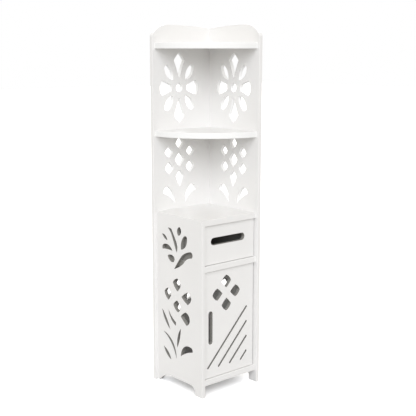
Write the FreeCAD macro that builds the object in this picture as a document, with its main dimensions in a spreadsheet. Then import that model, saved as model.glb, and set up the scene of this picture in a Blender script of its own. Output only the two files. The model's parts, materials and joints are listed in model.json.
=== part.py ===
"""Corner shelf unit for a bathroom, in white foamed board.

Two tall back panels stand against two walls and meet in the corner. They carry two quarter-round
shelves above a low cabinet with a drawer and a door. Millimetres, +Z up, origin on the floor under
the middle of the unit. The door and the drawer face -Y and the fretted side panel faces -X.
"""
import FreeCAD, Part
import math
import os
from types import SimpleNamespace

import Sketcher

DIMENSIONS = {
    # Overall
    "unit_width": 240,
    "unit_height": 1119,
    "panel_thickness": 12,
    "board_thickness": 18,
    "front_setback": 9,
    "edge_round": 1.2,
    # Cabinet heights from the floor, the clear space for the drawer, the panels above the top shelf
    "leg_height": 37,
    "cabinet_height": 550,
    "drawer_space": 122,
    "top_ledge_height": 54,
    # Outline of the back panels
    "shoulder_run": 60,
    "shoulder_drop": 37,
    "shoulder_corner_radius": 12,
    "crest_fall": 9,
    "back_leg_width": 35,
    "back_arch_height": 34,
    "back_arch_radius": 24,
    "left_motif_centre": 104,
    "right_motif_centre": 114,
    # Foot of the side panel
    "front_foot_width": 33,
    "side_arch_height": 29,
    "side_arch_radius": 22,
    "rear_toe_width": 8,
    "rear_sweep_length": 50,
    # Door and drawer front
    "front_thickness": 12,
    "front_recess": 6.5,
    "side_gap": 2,
    "hinge_gap": 3,
    "level_gap": 1.2,
    "door_flower_from_left": 89,
    "door_flower_height": 257,
    "grip_slot_from_left": 25,
    "grip_slot_bottom": 106,
    "grip_slot_length": 104,
    "grip_slot_width": 16.5,
    "stripe_width": 6.5,
    "stripe_pitch": 48,
    "stripe_top": 197,
    "stripe_bottom": 30,
    "stripe_left_margin": 15,
    "stripe_right_margin": 29,
    # Drawer
    "tissue_slot_length": 137,
    "tissue_slot_width": 23,
    "tissue_slot_height": 70,
    "tissue_slot_shift": 7,
    "drawer_wall": 10,
    "drawer_wall_height": 70,
    "drawer_side_gap": 3,
    "drawer_rear_gap": 0.5,
    "drawer_bottom_thickness": 5,
    "drawer_bottom_lift": 6,
    "groove_depth": 4,
    # Connector screws through the back panels and the drawer sides
    "screw_length": 40,
    "screw_radius": 2,
    "screw_head_radius": 4,
    "screw_head_height": 2.5,
    "screw_end_distance": 45,
    "drawer_screw_length": 30,
    # Cam fittings and dowels between the side panel and the boards
    "cam_radius": 7.5,
    "cam_height": 12.5,
    "cam_distance": 24,
    "cam_edge_distance": 26,
    "cam_bolt_radius": 3.5,
    "cam_thread_radius": 2.5,
    "cam_thread_depth": 8,
    "dowel_radius": 4,
    "dowel_length": 30,
    "dowel_panel_depth": 8,
    "dowel_edge_distance": 50,
    "drawer_dowel_radius": 3,
    "drawer_dowel_length": 24,
    "drawer_dowel_depth": 8,
    # Pivot hinge of the door
    "pivot_inset": 6,
    "pin_radius": 2.5,
    "pin_door_depth": 14,
    "pin_board_depth": 8,
    "bush_radius": 4.5,
    "bush_flange_radius": 6,
    # Magnetic catch
    "catch_from_left": 40,
    "catch_length": 44,
    "catch_depth": 14,
    "catch_height": 13,
    "magnet_length": 24,
    "magnet_depth": 11,
    "magnet_height": 7,
    "magnet_proud": 2,
    "strike_length": 38,
    "strike_height": 9,
    "strike_thickness": 1,
    "small_screw_radius": 1.5,
    "small_screw_head_radius": 3,
    "small_screw_head_height": 1.5,
    "catch_screw_length": 22,
    "strike_screw_length": 9,
    # Clearances
    "fit_gap": 0.05,
    "glide_gap": 0.3,
}

doc = FreeCAD.newDocument("corner_shelf_unit")
sheet = doc.addObject("Spreadsheet::Sheet", "dimensions")
for row, (alias, number) in enumerate(DIMENSIONS.items(), start=1):
    sheet.set(f"A{row}", alias)
    sheet.set(f"B{row}", str(number))
    sheet.setAlias(f"B{row}", alias)
doc.recompute()


class Size:
    """A length together with the sheet formula that gives it."""

    def __init__(self, formula, value):
        self.formula = formula
        self.value = value

    def __float__(self):
        return self.value

    def __add__(self, other):
        other = as_size(other)
        return Size(f"({self.formula} + {other.formula})", self.value + other.value)

    def __sub__(self, other):
        other = as_size(other)
        return Size(f"({self.formula} - {other.formula})", self.value - other.value)

    def __rsub__(self, other):
        return as_size(other) - self

    def __mul__(self, other):
        other = as_size(other)
        return Size(f"({self.formula} * {other.formula})", self.value * other.value)

    def __truediv__(self, other):
        other = as_size(other)
        return Size(f"({self.formula} / {other.formula})", self.value / other.value)

    def __neg__(self):
        return 0 - self


def as_size(number):
    """A plain number as a Size of its own."""
    if isinstance(number, Size):
        return number
    return Size(f"({float(number)})", float(number))


dim = SimpleNamespace()
for alias in DIMENSIONS:
    setattr(dim, alias, Size(f"dimensions.{alias}", float(sheet.get(alias))))

# Places that many pieces share
HALF = dim.unit_width / 2
INNER = HALF - dim.panel_thickness
FRONT = dim.front_setback - HALF
SIDE_INNER = FRONT + dim.panel_thickness
CABINET_DEPTH = INNER - FRONT
CABINET_WIDTH = INNER - SIDE_INNER
SHELF_RADIUS = INNER - FRONT
BOTTOM_TOP = dim.leg_height + dim.board_thickness
CABINET_TOP_UNDER = dim.cabinet_height - dim.board_thickness
DIVIDER_TOP = CABINET_TOP_UNDER - dim.drawer_space
DIVIDER_UNDER = DIVIDER_TOP - dim.board_thickness
TOP_SHELF_TOP = dim.unit_height - dim.top_ledge_height
# Of the height from the cabinet to the top shelf, the middle shelf's top face stands at this share
MIDDLE_SHELF_SHARE = 250 / 515
MIDDLE_SHELF_TOP = dim.cabinet_height + (TOP_SHELF_TOP - dim.cabinet_height) * MIDDLE_SHELF_SHARE
FRONT_FACE = FRONT + dim.front_recess
FRONT_BACK = FRONT_FACE + dim.front_thickness
PIVOT_X = INNER - dim.hinge_gap - dim.pivot_inset
PIVOT_Y = FRONT_FACE + dim.front_thickness / 2
MID_BOARD = dim.board_thickness / 2

# Door, and the strike plate's middle measured from the door's lower left corner
DOOR_LEFT = SIDE_INNER + dim.side_gap
DOOR_FOOT = BOTTOM_TOP + dim.level_gap
DOOR_WIDTH = CABINET_WIDTH - dim.side_gap - dim.hinge_gap
DOOR_HEIGHT = DIVIDER_UNDER - BOTTOM_TOP - dim.level_gap * 2
CATCH_FRONT = FRONT_BACK + dim.strike_thickness + dim.glide_gap + dim.magnet_proud
STRIKE_X = dim.catch_from_left + dim.catch_length / 2 - dim.side_gap
STRIKE_Z = DOOR_HEIGHT + dim.level_gap - dim.catch_height / 2
STRIKE_SCREW_REACH = (dim.strike_length + dim.magnet_length) / 4

# Drawer box
DRAWER_FRONT_FOOT = DIVIDER_TOP + dim.level_gap
DRAWER_FOOT = DIVIDER_TOP + dim.glide_gap
DRAWER_LEFT = SIDE_INNER + dim.drawer_side_gap
DRAWER_RIGHT = INNER - dim.drawer_side_gap
DRAWER_REAR = INNER - dim.drawer_rear_gap
DRAWER_DEPTH = DRAWER_REAR - FRONT_BACK
DRAWER_BOTTOM_UNDER = DRAWER_FOOT + dim.drawer_bottom_lift
DRAWER_BOTTOM_TOP = DRAWER_BOTTOM_UNDER + dim.drawer_bottom_thickness
# Heights of the two fasteners at each drawer corner, as shares of the wall above the bottom
DRAWER_FASTENER_SHARES = (0.3, 0.75)

# Under faces of the three cabinet boards and of the two shelves
CABINET_BOARDS = {
    "bottom_board": dim.leg_height,
    "divider_board": DIVIDER_UNDER,
    "cabinet_top": CABINET_TOP_UNDER,
}
SHELVES = {
    "middle_shelf": MIDDLE_SHELF_TOP - dim.board_thickness,
    "top_shelf": TOP_SHELF_TOP - dim.board_thickness,
}
BOARD_LEVELS = list(CABINET_BOARDS.values()) + list(SHELVES.values())

# The fretwork is drawn for these sizes and stretches with the panels
DRAWN_PANEL_WIDTH = 240
DRAWN_SIDE_DEPTH = 219
DRAWN_SIDE_HEIGHT = 550
DRAWN_DOOR_WIDTH = 202
DRAWN_DOOR_HEIGHT = 333
DRAWN_TOP_BAY = (800, 1047)
DRAWN_MIDDLE_BAY = (550, 782)
DRAWN_LOW_BAY = (55, 392)

# An outline lists its corners anticlockwise. The third number says how far the middle of the
# stretch to the next corner stands out, or in where it is negative.
PETAL = [(0, 16, 1), (19, 36.5, 3), (0, 56, 3), (-19, 36.5, 1)]
KITE = [(-2.5, 32, 0), (2.5, 32, -1.5), (21.5, 84, 1), (0, 108, 1), (-21.5, 84, -1.5)]
WEDGE = [(31, -9, 0.5), (67, -23.5, 9), (67, 23.5, 0.5), (31, 9, 1.5)]
BROAD_LEAF = [(24, 24, 8.5), (58, 57, 5), (46, 70, 8)]
HEART = [(0, -14, 12.5), (0, 14, 12.5)]
TOP_MOTIF_HEIGHT = 928
# Blossom behind the door: its two upright petals, and the two on the right that have a twin on the left
LOW_UPRIGHT_PETALS = [
    [(0, 289, 1), (15, 304, 2), (0, 320, 2), (-15, 304, 1)],
    [(0, 205, 2), (12, 221, 1), (0, 238, 1), (-12, 221, 2)],
]
LOW_SIDE_PETALS = [
    [(21, 277, 2), (59, 267, 3), (68, 287, 5), (36, 309, 4)],
    [(27, 240, 1), (52, 248, 4), (46, 261, 2), (30, 262, 1)],
]
# Centre and half sizes of each diamond in the middle bay, to the right of the motif's centre line
DIAMONDS = [(0, 756.5, 16, 19.5), (43, 729.5, 16.5, 18), (0, 704.5, 19, 23.5), (42, 680, 17, 19.5)]
DIAMOND_BULGE = 1.2
DROP = [(-2, 619, 0), (2, 619, 0), (16, 651, 1), (0, 672, 1), (-16, 651, 0)]
COMMA = [(65, 602, 8.5), (44, 620.5, 7.5), (19, 565, -5)]

# Fretwork of the side panel, measured from its rear edge and from the floor
SIDE_FRETWORK = [
    # Spray at the top
    [(114, 517, 8.5), (108, 489, 10.5)],
    [(121, 448, 11), (149, 490, 1.5), (138, 493, 7)],
    [(57, 507, -3), (80, 477, -0.5), (99, 435, 2), (103, 456, 1), (95, 474, 0), (75, 505, 1)],
    [(29, 484, 4), (55, 466, 6)],
    [(30, 436, -2), (79, 437, 8.5), (37, 452, 3.5)],
    [(56, 419, 5), (79, 401, 6), (87, 419, 5)],
    [(87, 381, 2), (132, 406, -5), (169, 429, 8), (166, 448, 3), (124, 429, 1)],
    # Flower in the middle, with two leaves
    [(102, 313, 2), (119, 335, 3), (102, 354, 3), (80, 338, 2)],
    [(58, 277, 2), (71, 297, 2), (57, 316, 3), (38, 300, 3)],
    [(152, 281, 3), (169, 303, 3), (152, 320, 2), (122, 300, 2)],
    [(104, 247, 3), (118, 265, 2), (100, 284, 2), (82, 267, 3)],
    [(145, 214, 7), (160, 240, 4), (141, 255, 2), (118, 237, 1)],
    [(25, 243, 7), (66, 182, 4)],
    [(58, 247, 8), (93, 201, 2), (92, 214, -4)],
    # Leaves at the bottom
    [(31, 170, -11), (96, 93, 20)],
    [(118, 198, 7.5), (100, 131, 4)],
    [(118, 109, -3.5), (174, 135, 2), (171, 147, 18)],
    [(32, 121, 6), (70, 84, 6)],
]
# How much the door's stripes rise for each millimetre across
STRIPE_SLOPE = 1.04
# How far the sweep at the side panel's rear toe stands off its chord, as a share of its height
SWEEP_BULGE_SHARE = 1 / 6

# Shares that shape the fasteners: a screw's tip and hexagon socket, a dowel's bevelled end, the
# neck of a cam bolt and the slot in a cam
TIP_SHARE = 1.5
SOCKET_REACH_SHARE = 0.5
SOCKET_DEPTH_SHARE = 0.7
BEVEL_SHARE = 0.25
NECK_SHARE = 0.6
CAM_SLOT_SHARE = 0.2

# Two coordinates closer than this are the same when edges are picked
NEAR = 0.01

# Screws from the left back panel into the side panel, as shares of the cabinet's height that
# the fretwork leaves free
SIDE_SCREW_SHARES = (0.145, 0.49, 0.94)


def bind(thing, prop, size):
    """Tie a property of a document object to its sheet formula."""
    thing.setExpression(prop, as_size(size).formula)


def place(thing, x, y, z):
    """Tie the three coordinates of a piece's place."""
    for axis, size in zip("xyz", (x, y, z)):
        bind(thing, f"Placement.Base.{axis}", size)


def new_body(label):
    body = doc.addObject("PartDesign::Body", label)
    body.Label = label
    return body


def new_sketch(body, name, role, offset=0):
    """An empty sketch on one of the body's own origin planes, or beside it."""
    sketch = body.newObject("Sketcher::SketchObject", f"{body.Name}_{name}")
    plane = next(item for item in body.Origin.OriginFeatures if item.Role == role)
    sketch.AttachmentSupport = [(plane, "")]
    sketch.MapMode = "FlatFace"
    bind(sketch, "AttachmentOffset.Base.z", offset)
    return sketch


def pad(body, sketch, length):
    feature = body.newObject("PartDesign::Pad", f"{sketch.Name}_pad")
    feature.Profile = sketch
    bind(feature, "Length", length)
    doc.recompute()
    return feature


def pocket(body, sketch, depth, along_normal):
    """Cut a sketch into the body and make sure that it took something away."""
    before = body.Shape.Volume
    feature = body.newObject("PartDesign::Pocket", f"{sketch.Name}_pocket")
    feature.Profile = sketch
    feature.Reversed = along_normal
    bind(feature, "Length", depth)
    doc.recompute()
    if not body.Shape.Volume < before:
        raise RuntimeError(f"{sketch.Name} cuts nothing")
    return feature


def rectangle(sketch, width, height):
    """A rectangle from the sketch's origin, with both sides tied to the sheet."""
    corners = [(0, 0), (float(width), 0), (float(width), float(height)), (0, float(height))]
    for start, end in zip(corners, corners[1:] + corners[:1]):
        sketch.addGeometry(Part.LineSegment(FreeCAD.Vector(*start), FreeCAD.Vector(*end)))
    for side in range(4):
        sketch.addConstraint(Sketcher.Constraint("Coincident", side, 2, (side + 1) % 4, 1))
    for side, way in enumerate(("Horizontal", "Vertical", "Horizontal", "Vertical")):
        sketch.addConstraint(Sketcher.Constraint(way, side))
    sketch.addConstraint(Sketcher.Constraint("Coincident", 0, 1, -1, 1))
    for name, side, length in (("width", 0, width), ("height", 1, height)):
        index = sketch.addConstraint(Sketcher.Constraint("Distance", side, float(length)))
        sketch.renameConstraint(index, name)
        bind(sketch, f"Constraints.{name}", length)


def circles(sketch, centres, radius):
    """Equal circles, the first one's radius tied to the sheet."""
    for number, (across, up) in enumerate(centres):
        middle = FreeCAD.Vector(float(across), float(up))
        sketch.addGeometry(Part.Circle(middle, FreeCAD.Vector(0, 0, 1), float(radius)))
        if number:
            sketch.addConstraint(Sketcher.Constraint("Equal", 0, number))
    index = sketch.addConstraint(Sketcher.Constraint("Radius", 0, float(radius)))
    sketch.renameConstraint(index, "radius")
    bind(sketch, "Constraints.radius", radius)


def drill(body, name, role, offset, centres, radius, depth, along_normal):
    """Equal round holes from a plane into the body."""
    sketch = new_sketch(body, name, role, offset)
    circles(sketch, centres, radius)
    return pocket(body, sketch, depth, along_normal)


def outline(sketch, corners, carry=FreeCAD.Vector):
    """Add a closed outline of lines and arcs, carried from its drawing to the sketch."""
    for (x0, y0, bulge), (x1, y1, _) in zip(corners, corners[1:] + corners[:1]):
        start = carry(x0, y0)
        end = carry(x1, y1)
        if bulge == 0:
            sketch.addGeometry(Part.LineSegment(start, end))
            continue
        reach = bulge / math.hypot(x1 - x0, y1 - y0)
        middle = carry((x0 + x1) / 2 + reach * (y1 - y0), (y0 + y1) / 2 - reach * (x1 - x0))
        sketch.addGeometry(Part.ArcOfCircle(start, middle, end))


def corner_bulge(radius):
    """How far a quarter round of this radius stands off its chord."""
    return radius * (1 - math.sqrt(0.5))


def mirrored(corners, across=False, up=False):
    """The same outline flipped left to right, top to bottom or both, still anticlockwise."""
    flipped = [(-x if across else x, -y if up else y) for x, y, _ in corners]
    bulges = [bulge for _, _, bulge in corners]
    if across != up:
        flipped.reverse()
        bulges = bulges[-2::-1] + bulges[-1:]
    return [(x, y, bulge) for (x, y), bulge in zip(flipped, bulges)]


def turned(corners, quarter_turns):
    for _ in range(quarter_turns):
        corners = [(-y, x, bulge) for x, y, bulge in corners]
    return corners


def shifted(corners, across, up):
    return [(x + across, y + up, bulge) for x, y, bulge in corners]


def slot(length, width):
    """A level slot with round ends, about its middle."""
    straight = (length - width) / 2
    return [
        (-straight, -width / 2, 0),
        (straight, -width / 2, width / 2),
        (straight, width / 2, 0),
        (-straight, width / 2, width / 2),
    ]


def slanted_slot(start, end, width):
    """A slot with round ends whose end arcs are centred on two points."""
    run = math.dist(start, end)
    side_x = (end[1] - start[1]) / run * width / 2
    side_y = (end[0] - start[0]) / run * width / 2
    return [
        (start[0] + side_x, start[1] - side_y, 0),
        (end[0] + side_x, end[1] - side_y, width / 2),
        (end[0] - side_x, end[1] + side_y, 0),
        (start[0] - side_x, start[1] + side_y, width / 2),
    ]


def round_edges(body, feature, chosen):
    """Ease the edges of a feature that a test on their box picks out."""
    names = [
        f"Edge{number}"
        for number, edge in enumerate(feature.Shape.Edges, start=1)
        if chosen(edge.BoundBox)
    ]
    fillet = body.newObject("PartDesign::Fillet", f"{body.Name}_eased_edges")
    fillet.Base = (feature, names)
    bind(fillet, "Radius", dim.edge_round)
    doc.recompute()


# Screw and dowel positions that the holes and the fasteners share
BOARD_SCREW_SPOTS = (dim.screw_end_distance, CABINET_WIDTH - dim.screw_end_distance)
BOARD_END_SCREW_SPOTS = (dim.screw_end_distance, CABINET_DEPTH - dim.screw_end_distance)
CAM_SPOTS = (dim.cam_edge_distance, CABINET_DEPTH - dim.cam_edge_distance)
DOWEL_SPOTS = (dim.dowel_edge_distance, CABINET_DEPTH - dim.dowel_edge_distance)
CORNER_LEVELS = [
    (lower + dim.board_thickness + upper) / 2 for lower, upper in zip(BOARD_LEVELS, BOARD_LEVELS[1:])
]
SIDE_SCREW_LEVELS = [dim.cabinet_height * share for share in SIDE_SCREW_SHARES]


def left_panel_screws():
    """Across and up, from the left back panel's front lower corner."""
    spots = [
        (SIDE_INNER + HALF + across, level + MID_BOARD)
        for level in BOARD_LEVELS
        for across in BOARD_SCREW_SPOTS
    ]
    spots += [(dim.unit_width - dim.panel_thickness / 2, level) for level in CORNER_LEVELS]
    spots += [(dim.front_setback + dim.panel_thickness / 2, level) for level in SIDE_SCREW_LEVELS]
    return spots


def right_panel_screws():
    """Across and up, from the right back panel's front lower corner."""
    return [
        (dim.front_setback + across, level + MID_BOARD)
        for level in BOARD_LEVELS
        for across in BOARD_END_SCREW_SPOTS
    ]


def arc_bulge(radius, start, end):
    """How far an arc of this radius stands off the chord between two points."""
    return radius - math.sqrt(radius**2 - math.dist(start, end) ** 2 / 4)


def back_panel_outline(sketch, width):
    """Arched foot, straight edges, round shoulder and a crest that falls towards the corner.

    The shoulder is a broad arc, level at the crest, and a small one that brings it upright.
    """
    width = float(width)
    height = float(dim.unit_height)
    leg = float(dim.back_leg_width)
    arch = float(dim.back_arch_height)
    bend = float(dim.back_arch_radius)
    fall = float(dim.crest_fall)
    run = float(dim.shoulder_run)
    drop = float(dim.shoulder_drop)
    small = float(dim.shoulder_corner_radius)
    crest_radius = ((width - run) ** 2 + fall**2) / (2 * fall)
    broad = ((run - small) ** 2 + drop**2 - small**2) / (2 * (drop - small))
    reach = broad / (broad - small)
    corner = (width, height - fall)
    brow = (run, height)
    meeting = (run - reach * (run - small), height - broad + reach * (broad - drop))
    edge_top = (0, height - drop)
    outline(
        sketch,
        [
            (0, 0, 0),
            (leg, 0, 0),
            (leg, arch - bend, -corner_bulge(bend)),
            (leg + bend, arch, 0),
            (width - leg - bend, arch, -corner_bulge(bend)),
            (width - leg, arch - bend, 0),
            (width - leg, 0, 0),
            (width, 0, 0),
            (*corner, arc_bulge(crest_radius, corner, brow)),
            (*brow, arc_bulge(broad, brow, meeting)),
            (*meeting, arc_bulge(small, meeting, edge_top)),
            (*edge_top, 0),
        ],
    )


def bay_carry(width, drawn_bay, low, high):
    """Carries fretwork drawn in one bay to the bay as built."""
    stretch = float(width) / DRAWN_PANEL_WIDTH
    rise = (float(high) - float(low)) / (drawn_bay[1] - drawn_bay[0])
    return lambda across, up: FreeCAD.Vector(across * stretch, float(low) + (up - drawn_bay[0]) * rise)


def top_bay_fretwork(centre):
    """Eight-part flower: kites, wedges, broad leaves and a heart."""
    shapes = [HEART]
    for flip in (False, True):
        shapes.append(mirrored(KITE, up=flip))
        shapes.append(mirrored(WEDGE, across=flip))
        shapes += [mirrored(BROAD_LEAF, across=flip, up=up) for up in (False, True)]
    return [shifted(shape, centre, TOP_MOTIF_HEIGHT) for shape in shapes]


def middle_bay_fretwork(centre):
    """Cluster of diamonds above a drop and two comma leaves."""
    shapes = [DROP]
    for flip in (False, True):
        shapes.append(mirrored(COMMA, across=flip))
        for across, up, wide, tall in DIAMONDS:
            if flip and across == 0:
                continue
            corners = ((0, -tall), (wide, 0), (0, tall), (-wide, 0))
            diamond = [(x, y, DIAMOND_BULGE) for x, y in corners]
            shapes.append(shifted(diamond, -across if flip else across, up))
    return [shifted(shape, centre, 0) for shape in shapes]


def low_bay_fretwork(centre):
    """Blossom of six petals, behind the door."""
    shapes = list(LOW_UPRIGHT_PETALS)
    for flip in (False, True):
        shapes += [mirrored(petal, across=flip) for petal in LOW_SIDE_PETALS]
    return [shifted(shape, centre, 0) for shape in shapes]


def back_panel_fretwork(body, role, centre, along_normal):
    middle_under = SHELVES["middle_shelf"]
    top_under = SHELVES["top_shelf"]
    bays = (
        ("low_bay", low_bay_fretwork, DRAWN_LOW_BAY, BOTTOM_TOP, DIVIDER_UNDER),
        ("middle_bay", middle_bay_fretwork, DRAWN_MIDDLE_BAY, dim.cabinet_height, middle_under),
        ("top_bay", top_bay_fretwork, DRAWN_TOP_BAY, MIDDLE_SHELF_TOP, top_under),
    )
    stretch = float(dim.unit_width) / DRAWN_PANEL_WIDTH
    for name, fretwork, drawn_bay, low, high in bays:
        sketch = new_sketch(body, name, role)
        carry = bay_carry(dim.unit_width, drawn_bay, low, high)
        for shape in fretwork(float(centre) / stretch):
            outline(sketch, shape, carry)
        pocket(body, sketch, dim.panel_thickness, along_normal)


def left_back_panel():
    """Stands against the left wall and closes the corner."""
    body = new_body("left_back_panel")
    sketch = new_sketch(body, "outline", "XZ_Plane")
    back_panel_outline(sketch, dim.unit_width)
    plate = pad(body, sketch, dim.panel_thickness)
    rear = float(dim.unit_width)
    round_edges(body, plate, lambda bounds: bounds.YLength < NEAR and bounds.XMin < rear - NEAR)
    back_panel_fretwork(body, "XZ_Plane", dim.left_motif_centre, True)
    spots = left_panel_screws()
    shank = dim.screw_radius + dim.fit_gap
    head = dim.screw_head_radius + dim.fit_gap
    drill(body, "screws", "XZ_Plane", 0, spots, shank, dim.panel_thickness, True)
    drill(body, "heads", "XZ_Plane", 0, spots, head, dim.screw_head_height + dim.fit_gap, True)
    place(body, -HALF, HALF, 0)


def right_back_panel():
    """Stands against the right wall and butts on the left back panel."""
    body = new_body("right_back_panel")
    width = dim.unit_width - dim.panel_thickness
    sketch = new_sketch(body, "outline", "YZ_Plane")
    back_panel_outline(sketch, width)
    plate = pad(body, sketch, dim.panel_thickness)
    rear = float(width)
    round_edges(body, plate, lambda bounds: bounds.XLength < NEAR and bounds.YMin < rear - NEAR)
    back_panel_fretwork(body, "YZ_Plane", dim.right_motif_centre, True)
    spots = right_panel_screws()
    shank = dim.screw_radius + dim.fit_gap
    head = dim.screw_head_radius + dim.fit_gap
    outer = dim.panel_thickness
    drill(body, "screws", "YZ_Plane", 0, spots, shank, dim.panel_thickness, True)
    drill(body, "heads", "YZ_Plane", outer, spots, head, dim.screw_head_height + dim.fit_gap, False)
    rear_edge_drill(body, width, CORNER_LEVELS)
    place(body, INNER, -HALF, 0)


def rear_edge_drill(body, depth, levels):
    """Pilot holes for the screws that come through the left back panel."""
    spots = [(dim.panel_thickness / 2, level) for level in levels]
    reach = dim.screw_length - dim.panel_thickness
    drill(body, "rear_pilots", "XZ_Plane", -depth, spots, dim.screw_radius + dim.fit_gap, reach, True)


def side_panel_outline(sketch):
    """Front foot, low arch and a thin toe at the rear, measured from the front edge."""
    depth = float(CABINET_DEPTH)
    height = float(dim.cabinet_height)
    foot = float(dim.front_foot_width)
    arch = float(dim.side_arch_height)
    bend = float(dim.side_arch_radius)
    toe = float(dim.rear_toe_width)
    sweep = float(dim.rear_sweep_length)
    sweep_bulge = arch * SWEEP_BULGE_SHARE
    outline(
        sketch,
        [
            (0, 0, 0),
            (foot, 0, 0),
            (foot, arch - bend, -corner_bulge(bend)),
            (foot + bend, arch, 0),
            (depth - toe - sweep, arch, -sweep_bulge),
            (depth - toe, 0, 0),
            (depth, 0, 0),
            (depth, height, 0),
            (0, height, 0),
        ],
    )


def side_panel():
    """Carries the left ends of the three cabinet boards."""
    body = new_body("side_panel")
    sketch = new_sketch(body, "outline", "YZ_Plane")
    side_panel_outline(sketch)
    plate = pad(body, sketch, dim.panel_thickness)
    top = float(dim.cabinet_height)

    def front_or_top(bounds):
        return bounds.XMax < NEAR and (bounds.YMax < NEAR or bounds.ZMin > top - NEAR)

    round_edges(body, plate, front_or_top)
    stretch = float(CABINET_DEPTH) / DRAWN_SIDE_DEPTH
    rise = float(dim.cabinet_height) / DRAWN_SIDE_HEIGHT
    depth = float(CABINET_DEPTH)
    fretwork = new_sketch(body, "fretwork", "YZ_Plane")
    for shape in SIDE_FRETWORK:
        outline(fretwork, shape, lambda across, up: FreeCAD.Vector(depth - across * stretch, up * rise))
    pocket(body, fretwork, dim.panel_thickness, True)
    inner = dim.panel_thickness
    levels = [level + MID_BOARD for level in CABINET_BOARDS.values()]
    bolts = [(spot, level) for level in levels for spot in CAM_SPOTS]
    dowels = [(spot, level) for level in levels for spot in DOWEL_SPOTS]
    thread = dim.cam_thread_radius + dim.fit_gap
    peg = dim.dowel_radius + dim.fit_gap
    drill(body, "bolts", "YZ_Plane", inner, bolts, thread, dim.cam_thread_depth, False)
    drill(body, "dowels", "YZ_Plane", inner, dowels, peg, dim.dowel_panel_depth, False)
    rear_edge_drill(body, CABINET_DEPTH, SIDE_SCREW_LEVELS)
    place(body, FRONT, FRONT, 0)


def shelf(label, level):
    """Quarter-round board whose square corner fits between the back panels."""
    body = new_body(label)
    sketch = new_sketch(body, "outline", "XY_Plane")
    radius = float(SHELF_RADIUS)
    corner = FreeCAD.Vector(0, 0)
    left = FreeCAD.Vector(-radius, 0)
    near = FreeCAD.Vector(0, -radius)
    sketch.addGeometry(Part.LineSegment(corner, left))
    round_front = Part.Circle(corner, FreeCAD.Vector(0, 0, 1), radius)
    sketch.addGeometry(Part.ArcOfCircle(round_front, math.pi, 1.5 * math.pi))
    sketch.addGeometry(Part.LineSegment(near, corner))
    sketch.addConstraint(Sketcher.Constraint("Coincident", 0, 1, -1, 1))
    sketch.addConstraint(Sketcher.Constraint("Coincident", 0, 2, 1, 1))
    sketch.addConstraint(Sketcher.Constraint("Coincident", 1, 2, 2, 1))
    sketch.addConstraint(Sketcher.Constraint("Coincident", 2, 2, -1, 1))
    sketch.addConstraint(Sketcher.Constraint("Coincident", 1, 3, -1, 1))
    sketch.addConstraint(Sketcher.Constraint("Horizontal", 0))
    sketch.addConstraint(Sketcher.Constraint("Vertical", 2))
    index = sketch.addConstraint(Sketcher.Constraint("Radius", 1, radius))
    sketch.renameConstraint(index, "radius")
    bind(sketch, "Constraints.radius", SHELF_RADIUS)
    plate = pad(body, sketch, dim.board_thickness)
    round_edges(body, plate, lambda bounds: bounds.XLength > radius / 2 and bounds.YLength > radius / 2)
    pilot = dim.screw_radius + dim.fit_gap
    reach = dim.screw_length - dim.panel_thickness
    rear = [(spot - CABINET_WIDTH, MID_BOARD) for spot in BOARD_SCREW_SPOTS]
    ends = [(spot - CABINET_DEPTH, MID_BOARD) for spot in BOARD_END_SCREW_SPOTS]
    drill(body, "rear_pilots", "XZ_Plane", 0, rear, pilot, reach, True)
    drill(body, "end_pilots", "YZ_Plane", 0, ends, pilot, reach, False)
    place(body, INNER, INNER, level)


def cabinet_board(label, level):
    """Square board between the side panel and the two back panels."""
    body = new_body(label)
    sketch = new_sketch(body, "outline", "XY_Plane")
    rectangle(sketch, CABINET_WIDTH, CABINET_DEPTH)
    plate = pad(body, sketch, dim.board_thickness)
    round_edges(body, plate, lambda bounds: bounds.YMax < NEAR and bounds.XLength > NEAR)
    pilot = dim.screw_radius + dim.fit_gap
    reach = dim.screw_length - dim.panel_thickness
    rear = [(spot, MID_BOARD) for spot in BOARD_SCREW_SPOTS]
    ends = [(spot, MID_BOARD) for spot in BOARD_END_SCREW_SPOTS]
    bolts = [(spot, MID_BOARD) for spot in CAM_SPOTS]
    dowels = [(spot, MID_BOARD) for spot in DOWEL_SPOTS]
    cams = [(dim.cam_distance, spot) for spot in CAM_SPOTS]
    bolt = dim.cam_bolt_radius + dim.fit_gap
    peg = dim.dowel_radius + dim.fit_gap
    peg_reach = dim.dowel_length - dim.dowel_panel_depth + dim.fit_gap
    cam = dim.cam_radius + dim.fit_gap
    drill(body, "rear_pilots", "XZ_Plane", -CABINET_DEPTH, rear, pilot, reach, True)
    drill(body, "end_pilots", "YZ_Plane", CABINET_WIDTH, ends, pilot, reach, False)
    drill(body, "bolts", "YZ_Plane", 0, bolts, bolt, dim.cam_distance, True)
    drill(body, "dowels", "YZ_Plane", 0, dowels, peg, peg_reach, True)
    drill(body, "cams", "XY_Plane", 0, cams, cam, dim.cam_height + dim.fit_gap, True)
    place(body, SIDE_INNER, FRONT, level)
    return body


def pivot_hole(body, from_top):
    """Seat of a hinge bush in a cabinet board."""
    spot = [(PIVOT_X - SIDE_INNER, PIVOT_Y - FRONT)]
    start = dim.board_thickness if from_top else 0
    depth = dim.pin_board_depth + dim.glide_gap
    drill(body, "bush", "XY_Plane", start, spot, dim.bush_radius + dim.fit_gap, depth, not from_top)


def catch_screw_spots():
    """Across from the cabinet's inside left and back from its front edge."""
    ear = (dim.catch_length - dim.magnet_length) / 4
    middle = CATCH_FRONT - FRONT + dim.catch_depth / 2
    return [
        (dim.catch_from_left + ear, middle),
        (dim.catch_from_left + dim.catch_length - ear, middle),
    ]


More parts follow.
